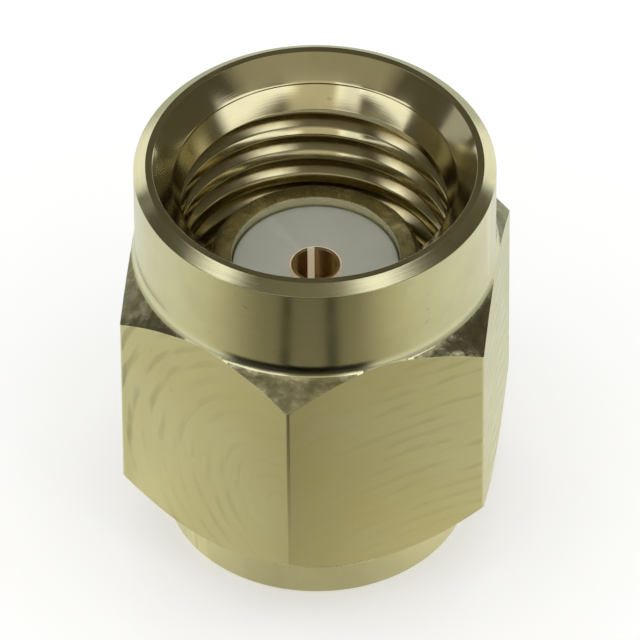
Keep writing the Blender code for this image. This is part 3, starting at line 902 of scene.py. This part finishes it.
class TERMINATOR_OT_contact(bpy.types.Operator):
    """Model the slotted socket contact"""

    bl_idname = "terminator.contact"
    bl_label = "Socket contact"

    def execute(self, context):
        _, body, finishes, _ = settings()
        front_z = CONTACT_HIGH.z
        floor_z = front_z - body.socket_depth
        drill_point_z = floor_z - body.socket_radius * math.tan(math.radians(30))
        cup_radius = CONTACT_HIGH.x
        outline = [
            (0, body.cup_floor_z),
            (body.resistor_seat_radius, body.cup_floor_z),
            (body.resistor_seat_radius, CONTACT_LOW.z),
            (cup_radius, CONTACT_LOW.z),
            (cup_radius, body.cup_front_z),
            (body.contact_radius, body.cup_front_z),
            (body.contact_radius, front_z),
            (body.socket_radius, front_z),
            (body.socket_radius, floor_z),
            (0, drill_point_z),
        ]
        piece = turned("contact_dressed", rounded(outline, 0.025 * MM), SMALL_LATHE_SIDES)
        cut(piece, self.saw(body, front_z))
        smooth(piece)
        piece.data.materials.append(turned_gold("contact_gold", tuple(finishes.contact_gold), 0.3))
        seat(piece, "load_body", "center_contact")
        return {"FINISHED"}

    def saw(self, body, front_z):
        """The saw's path: a thin slab through both walls of the collet."""
        start_clean()
        over = 0.5 * MM
        size = (body.slot_width, 2 * body.contact_radius + over, body.slot_depth + over)
        bpy.ops.mesh.primitive_cube_add(size=1, scale=size)
        slab = bpy.context.object
        slab.location = (
            body.slot_offset * math.cos(body.slot_angle),
            body.slot_offset * math.sin(body.slot_angle),
            front_z + (over - body.slot_depth) / 2,
        )
        slab.rotation_euler.z = body.slot_angle
        bpy.ops.object.transform_apply(location=True, rotation=True, scale=True)
        return slab


class TERMINATOR_OT_gasket(bpy.types.Operator):
    """Model the rubber gasket"""

    bl_idname = "terminator.gasket"
    bl_label = "Gasket"

    def execute(self, context):
        _, body, finishes, _ = settings()
        inner = body.sleeve_radius + 0.02 * MM
        outline = [
            (inner, GASKET_LOW.z),
            (GASKET_HIGH.x, GASKET_LOW.z),
            (GASKET_HIGH.x, GASKET_HIGH.z),
            (inner, GASKET_HIGH.z),
        ]
        piece = turned("gasket_dressed", rounded(outline, 0.12 * MM, 6), SMALL_LATHE_SIDES)
        smooth(piece)
        rubber = dull_finish("silicone_rubber", tuple(finishes.gasket_brown), 0.5, 0.0)
        piece.data.materials.append(rubber)
        seat(piece, "load_body", "gasket")
        return {"FINISHED"}


class TERMINATOR_OT_end_cap(bpy.types.Operator):
    """Model the pressed-in end cap"""

    bl_idname = "terminator.end_cap"
    bl_label = "End cap"

    def execute(self, context):
        _, body, finishes, _ = settings()
        seat_floor_z = 0.44 * MM
        outline = [
            (0, 0),
            (CAP_HIGH.x, 0),
            (CAP_HIGH.x, CAP_HIGH.z),
            (body.resistor_seat_radius, CAP_HIGH.z),
            (body.resistor_seat_radius, seat_floor_z),
            (0, seat_floor_z),
        ]
        piece = turned("end_cap_dressed", rounded(outline, 0.05 * MM), SMALL_LATHE_SIDES)
        smooth(piece)
        piece.data.materials.append(turned_gold("end_cap_gold", tuple(finishes.body_gold), 0.24, 0.08))
        seat(piece, "load_body", "end_cap")
        return {"FINISHED"}


class TERMINATOR_OT_inner_pieces(bpy.types.Operator):
    """Give the sealed inner pieces their finishes"""

    bl_idname = "terminator.inner_pieces"
    bl_label = "Inner pieces"

    def execute(self, context):
        finishes = settings()[2]
        tin = dull_finish("dull_tin", tuple(finishes.tin), 0.34, 1.0)
        materials = {
            "retaining_ring": dull_finish("spring_bronze", tuple(finishes.bronze), 0.36, 1.0),
            "resistor_rod": dull_finish("resistor_lacquer", tuple(finishes.lacquer), 0.3, 0.0),
            "resistor_front_cap": tin,
            "resistor_rear_cap": tin,
        }
        for node, material in materials.items():
            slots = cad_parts[node].data.materials
            slots.clear()
            slots.append(material)
        return {"FINISHED"}


# Stage


def around(azimuth, elevation):
    """Unit vector towards a place round the part. Azimuth 0 is -Y and grows towards +X."""
    flat = math.cos(elevation)
    return Vector((math.sin(azimuth) * flat, -math.cos(azimuth) * flat, math.sin(elevation)))


def add_camera(stage):
    start_clean()
    back = around(stage.camera_azimuth, stage.camera_elevation)
    right = Vector((math.cos(stage.camera_azimuth), math.sin(stage.camera_azimuth), 0))
    aim = Vector((0, 0, stage.aim_height)) + right * stage.aim_side
    bpy.ops.object.camera_add(location=aim + back * stage.camera_distance)
    camera = bpy.context.object
    camera.name = "photo_camera"
    camera.rotation_euler = (-back).to_track_quat("-Z", "Y").to_euler()
    camera.rotation_euler.rotate_axis("Z", stage.camera_roll)
    camera.data.sensor_width = 36
    camera.data.lens = stage.camera_lens
    camera.data.clip_start = 0.01
    camera.data.clip_end = 5
    bpy.context.scene.camera = camera


def add_panel(name, azimuth, elevation, width, height, brightness, tint=(1, 1, 1), soft=0.0):
    """A soft panel lamp aimed at the part, all in degrees. Its azimuth is counted from the camera's.

    The share called soft, at each side of the panel, fades out towards the edge.
    """
    stage = settings()[3]
    start_clean()
    way = around(stage.camera_azimuth + math.radians(azimuth), math.radians(elevation))
    bpy.ops.object.light_add(type="AREA", location=way * stage.panel_distance)
    lamp = bpy.context.object
    lamp.name = name
    lamp.rotation_euler = (-way).to_track_quat("-Z", "Y").to_euler()
    lamp.data.shape = "RECTANGLE"
    lamp.data.size = 2 * stage.panel_distance * math.tan(math.radians(width / 2))
    lamp.data.size_y = 2 * stage.panel_distance * math.tan(math.radians(height / 2))
    # An area lamp of this many watts for each square metre shows a brightness of 1.
    lamp.data.energy = 4 * lamp.data.size * lamp.data.size_y * brightness
    lamp.data.color = tint
    lamp.visible_camera = False
    if soft:
        lamp.data.use_nodes = True
        tree = lamp.data.node_tree
        across, up, _ = separated(tree, add(tree, "ShaderNodeNewGeometry").outputs["Parametric"])
        edge = maths(
            tree, "MINIMUM",
            maths(tree, "MINIMUM", across, maths(tree, "SUBTRACT", 1.0, across)),
            maths(tree, "MINIMUM", up, maths(tree, "SUBTRACT", 1.0, up)),
        )
        tree.links.new(spread(tree, edge, 0.0, soft), tree.nodes["Emission"].inputs["Strength"])


def camera_axes(tree, stage, position):
    """Distance to the right of the axis and towards the camera, as seen from the camera."""
    right = (math.cos(stage.camera_azimuth), math.sin(stage.camera_azimuth), 0)
    front = tuple(around(stage.camera_azimuth, 0))
    return component(tree, position, right), component(tree, position, front)


def dark_distance_from(tree, stage, position):
    """Distance from the floor's darkest place, which reaches out towards the camera's side."""
    sideways, forwards = camera_axes(tree, stage, position)
    across = maths(tree, "SUBTRACT", sideways, stage.dark_distance * math.sin(stage.dark_azimuth))
    ahead = maths(tree, "SUBTRACT", forwards, stage.dark_distance * math.cos(stage.dark_azimuth))
    stretched = times(tree, maths(tree, "MAXIMUM", ahead, 0.0), 0.25)
    short = maths(tree, "ADD", maths(tree, "MINIMUM", ahead, 0.0), stretched)
    return diagonal(tree, across, short)


def painted_shade_bars(tree, stage, position):
    """Two bars of painted shade on the floor in front, seen only in reflections, which the polished collar
    mirrors as upright streaks.
    """
    sideways, forwards = camera_axes(tree, stage, position)
    ahead = spread(tree, forwards, 9.5 * MM, 10.5 * MM)
    shade = 1.0
    for middle, half in ((-3.65 * MM, 0.55 * MM), (1.9 * MM, 0.7 * MM)):
        off = maths(tree, "ABSOLUTE", maths(tree, "SUBTRACT", sideways, middle))
        bar = times(tree, spread(tree, off, half * 0.55, half * 1.5, 0.72, 0.0), ahead)
        shade = times(tree, shade, maths(tree, "SUBTRACT", 1.0, bar))
    return shade


def painted_far_shade(tree, stage, position, reach):
    """1 near the part and nearly 0 beyond about 15 mm on the camera's side: painted shade on the floor in
    reflections.
    """
    sideways, forwards = camera_axes(tree, stage, position)
    turn = maths(tree, "ARCTAN2", sideways, forwards)
    off = maths(tree, "ABSOLUTE", maths(tree, "SUBTRACT", turn, math.radians(-9.5)))
    inside = spread(tree, off, math.radians(34), math.radians(42), 1.0, 0.0)
    beyond = times(tree, inside, spread(tree, reach, 14.2 * MM, 16.5 * MM))
    return maths(tree, "SUBTRACT", 1.0, times(tree, beyond, 0.95))


# Painted shade of the floor in reflections, at shares of this distance from its darkest place.
MIRROR_REACH = 60 * MM
MIRRORED_SHADES = (
    (0.05, (0.18, 0.165, 0.115)),
    (0.125, (0.24, 0.22, 0.145)),
    (0.175, (0.40, 0.375, 0.26)),
    (0.23, (0.56, 0.54, 0.405)),
    (0.32, (0.68, 0.68, 0.59)),
    (0.47, (0.80, 0.81, 0.79)),
    (0.57, (0.58, 0.58, 0.50)),
    (0.70, (0.46, 0.47, 0.41)),
)


def mirrored_shade(tree, stage, position):
    """Colour of the floor in reflections: painted shade, darkest at its dark place towards the camera."""
    distance = maths(tree, "DIVIDE", dark_distance_from(tree, stage, position), MIRROR_REACH)
    node = add(tree, "ShaderNodeValToRGB", {0: distance})
    ramp = node.color_ramp
    while len(ramp.elements) < len(MIRRORED_SHADES):
        ramp.elements.new(0.5)
    for element, (place, shade) in zip(ramp.elements, MIRRORED_SHADES):
        element.position = place
        element.color = (*shade, 1)
    return node.outputs[0]


def mirrored_strength(tree, stage, position):
    """Brightness of the floor in reflections: lit from more sides beside the part, shaded in front."""
    reach = add(tree, "ShaderNodeVectorMath", {0: position}, operation="LENGTH").outputs["Value"]
    beside = maths(tree, "ABSOLUTE", camera_axes(tree, stage, position)[0])
    side = spread(tree, beside, 1 * MM, 3.5 * MM)
    lit_near = times(tree, spread(tree, reach, 3 * MM, 9 * MM, 0.27, 0.0), side)
    in_front = maths(tree, "SUBTRACT", 1.0, side)
    shade = times(tree, spread(tree, reach, 3.6 * MM, 5 * MM, 0.13, 0.0), in_front)
    near = maths(tree, "SUBTRACT", lit_near, shade)
    strength = times(tree, maths(tree, "ADD", near, 1.0), painted_shade_bars(tree, stage, position))
    return times(tree, strength, painted_far_shade(tree, stage, position, reach))


def add_floor(stage):
    """A pale floor that shows white to the camera and keeps the part's shadow.

    In reflections it shows painted shade, darker towards the camera, as emission that only glossy rays
    see.
    """
    start_clean()
    bpy.ops.mesh.primitive_circle_add(vertices=96, radius=1.2, fill_type="NGON")
    floor = bpy.context.object
    floor.name = "floor"
    material, tree, shader = new_material("pale_floor")
    position = object_position(tree)
    grain = noise(tree, position, 160.0, 3.0, 0.5)
    tree.links.new(cloudy(tree, grain, stage.floor_white, 0.99, 1.01), shader.inputs["Base Color"])
    shader.inputs["Roughness"].default_value = 0.9
    shader.inputs["Specular IOR Level"].default_value = 0.1
    path = add(tree, "ShaderNodeLightPath")
    lift = times(tree, path.outputs["Is Camera Ray"], 0.30)
    glow = add(tree, "ShaderNodeEmission", {"Color": (1, 1, 1, 1), "Strength": lift})
    lit = add(tree, "ShaderNodeAddShader", {0: shader.outputs[0], 1: glow.outputs[0]})
    shade = mirrored_shade(tree, stage, position)
    strength = mirrored_strength(tree, stage, position)
    sheet = add(tree, "ShaderNodeEmission", {"Color": shade, "Strength": strength})
    inputs = {0: path.outputs["Is Glossy Ray"], 1: lit.outputs[0], 2: sheet.outputs[0]}
    seen = add(tree, "ShaderNodeMixShader", inputs)
    tree.links.new(seen.outputs[0], tree.nodes["Material Output"].inputs["Surface"])
    floor.data.materials.append(material)


def light_world(stage):
    """White to the camera, plain fill light to matt surfaces, and a dim warm room in reflections."""
    world = bpy.data.worlds.new("studio")
    bpy.context.scene.world = world
    world.use_nodes = True
    tree = world.node_tree
    background = tree.nodes["Background"]
    path = add(tree, "ShaderNodeLightPath")
    room = blend_colour(tree, path.outputs["Is Glossy Ray"], stage.fill_light, stage.room)
    seen = blend_colour(tree, path.outputs["Is Camera Ray"], room, (1.0, 1.0, 1.0))
    tree.links.new(seen, background.inputs["Color"])


class TERMINATOR_OT_stage(bpy.types.Operator):
    """Set the camera, the lamps and the pale floor"""

    bl_idname = "terminator.stage"
    bl_label = "Stage"

    def execute(self, context):
        stage = settings()[3]
        context.scene.view_settings.view_transform = "Standard"
        add_camera(stage)
        add_floor(stage)
        light_world(stage)
        add_panel("upper_left_panel", -80, 55, 28, 19, 0.95, soft=0.22)
        add_panel("upper_right_panel", 62, 61, 36, 19, 0.88, soft=0.22)
        add_panel("low_left_panel", -52, 13, 38, 14, 0.95)
        add_panel("right_panel", 43, 15, 62, 22, 0.95, soft=0.16)
        add_panel("front_fill", 0, 21, 44, 26, 0.42, stage.room_tint, 0.2)
        add_panel("wide_front_fill", 0, 44, 104, 28, 0.20, stage.room_tint, 0.16)
        add_panel("front_high_fill", 0, 67, 40, 14, 0.06, stage.room_tint)
        add_panel("left_panel", -25, 17, 20, 24, 0.80, soft=0.18)
        add_panel("left_side_fill", -111, 15, 20, 20, 0.28)
        add_panel("back_left_panel", -152, 9, 50, 26, 0.70)
        add_panel("back_right_panel", 152, 9, 50, 26, 0.70)
        return {"FINISHED"}


class TERMINATOR_PT_panel(bpy.types.Panel):
    """Lists the pieces and the stage in the sidebar"""

    bl_idname = "TERMINATOR_PT_panel"
    bl_label = "Coaxial terminator"
    bl_space_type = "VIEW_3D"
    bl_region_type = "UI"
    bl_category = "Terminator"

    def draw(self, context):
        for operator in OPERATORS:
            self.layout.operator(operator.bl_idname)


OPERATORS = (
    TERMINATOR_OT_stage,
    TERMINATOR_OT_coupling_nut,
    TERMINATOR_OT_body,
    TERMINATOR_OT_bead,
    TERMINATOR_OT_contact,
    TERMINATOR_OT_gasket,
    TERMINATOR_OT_end_cap,
    TERMINATOR_OT_inner_pieces,
)
GROUPS = {
    "terminator_nut": NutSizes,
    "terminator_body": BodySizes,
    "terminator_finishes": Finishes,
    "terminator_stage": StageSettings,
}


def register():
    for cls in (*GROUPS.values(), *OPERATORS, TERMINATOR_PT_panel):
        bpy.utils.register_class(cls)
    for name, group in GROUPS.items():
        setattr(bpy.types.Scene, name, bpy.props.PointerProperty(type=group))


def unregister():
    for name in GROUPS:
        delattr(bpy.types.Scene, name)
    for cls in reversed((*GROUPS.values(), *OPERATORS, TERMINATOR_PT_panel)):
        bpy.utils.unregister_class(cls)


def main():
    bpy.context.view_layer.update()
    register()
    bpy.ops.terminator.stage()
    bpy.ops.terminator.coupling_nut()
    bpy.ops.terminator.body()
    bpy.ops.terminator.bead()
    bpy.ops.terminator.contact()
    bpy.ops.terminator.gasket()
    bpy.ops.terminator.end_cap()
    bpy.ops.terminator.inner_pieces()
    start_clean()


if __name__ == "__main__":
    main()
